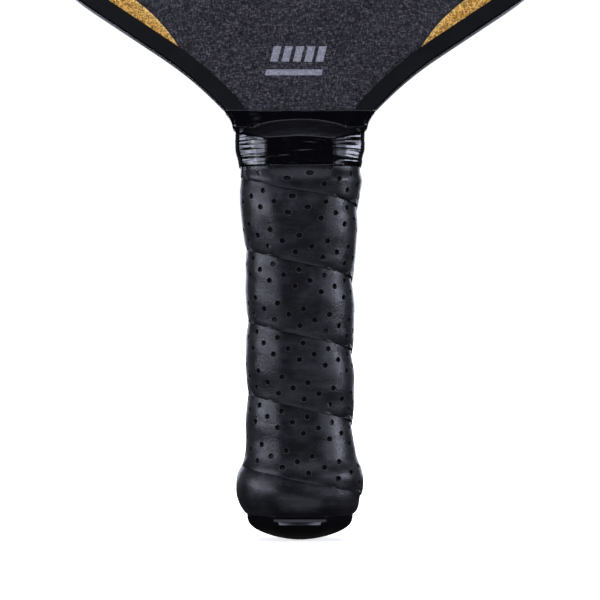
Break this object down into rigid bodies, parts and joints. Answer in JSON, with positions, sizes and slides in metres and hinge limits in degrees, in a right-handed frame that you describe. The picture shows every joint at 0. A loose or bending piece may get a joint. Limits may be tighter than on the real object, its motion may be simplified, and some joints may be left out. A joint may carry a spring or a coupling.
{
  "type": "pickleball paddle",
  "caption": "Racket-sport paddle with a flat honeycomb-cored blade, edge guard, and eight-sided handle with a perforated spiral grip.",
  "frame": {"origin": "lowest point of the butt cap's rounded end, on the paddle's centre line", "axes": "+Z along the handle from the butt to the blade's top edge, +X across the blade, -Y out of the front face"},
  "size_m": [0.203, 0.0358, 0.4],
  "materials": {
    "printed_film": "woven-look print, fine tooth",
    "laminate": "carbon and glass laminate",
    "core_plastic": "natural polypropylene",
    "veil": "non-woven veil",
    "guard_plastic": "satin black",
    "pallet_plastic": "moulded, fine texture",
    "cap_plastic": "gloss black",
    "staple_steel": "drawn wire",
    "grip_cushion": "tacky perforated synthetic leather",
    "vinyl_tape": "glossy stretch vinyl"
  },
  "bodies": {
    "root": {"honeycomb_core": "core_plastic", "front_core_veil": "veil", "back_core_veil": "veil", "front_face_skin": "laminate", "back_face_skin": "laminate", "front_graphic_film": "printed_film", "back_graphic_film": "printed_film", "edge_guard": "guard_plastic", "front_handle_pallet": "pallet_plastic", "back_handle_pallet": "pallet_plastic", "butt_cap": "cap_plastic", "butt_cap_staples": "staple_steel", "grip_wrap": "grip_cushion", "finishing_tape": "vinyl_tape", "throat_tape": "vinyl_tape"}
  },
  "joints": []
}
